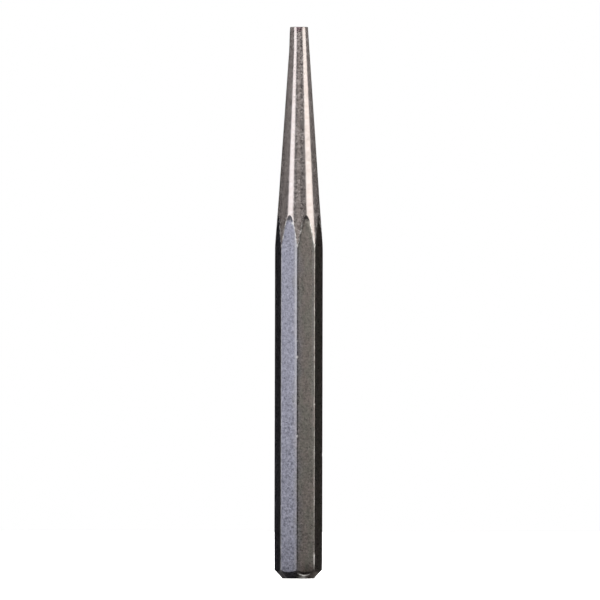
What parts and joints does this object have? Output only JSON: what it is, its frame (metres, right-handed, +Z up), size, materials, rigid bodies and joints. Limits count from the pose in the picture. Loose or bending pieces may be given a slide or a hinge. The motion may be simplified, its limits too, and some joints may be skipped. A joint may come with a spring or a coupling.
{
  "type": "taper punch",
  "caption": "Octagonal steel hand punch with a ground taper that ends in a small flat tip; the bevelled head is struck with a hammer.",
  "frame": {"origin": "centre of the flat striking face, which the punch stands on", "axes": "+Z up the bar from the striking face to the tip; -Y is the front, and one long corner of the bar faces it; +X is to the right"},
  "size_m": [0.0108, 0.0108, 0.125],
  "materials": {
    "ground_steel": "bare tool steel, ground around the axis, fairly bright",
    "dark_coat": "dark grey satin coat with a fine pebbled grain, rubbed bright along the corners"
  },
  "bodies": {
    "root": {"punch_body": "ground_steel", "shank_coat": "dark_coat"}
  },
  "joints": []
}
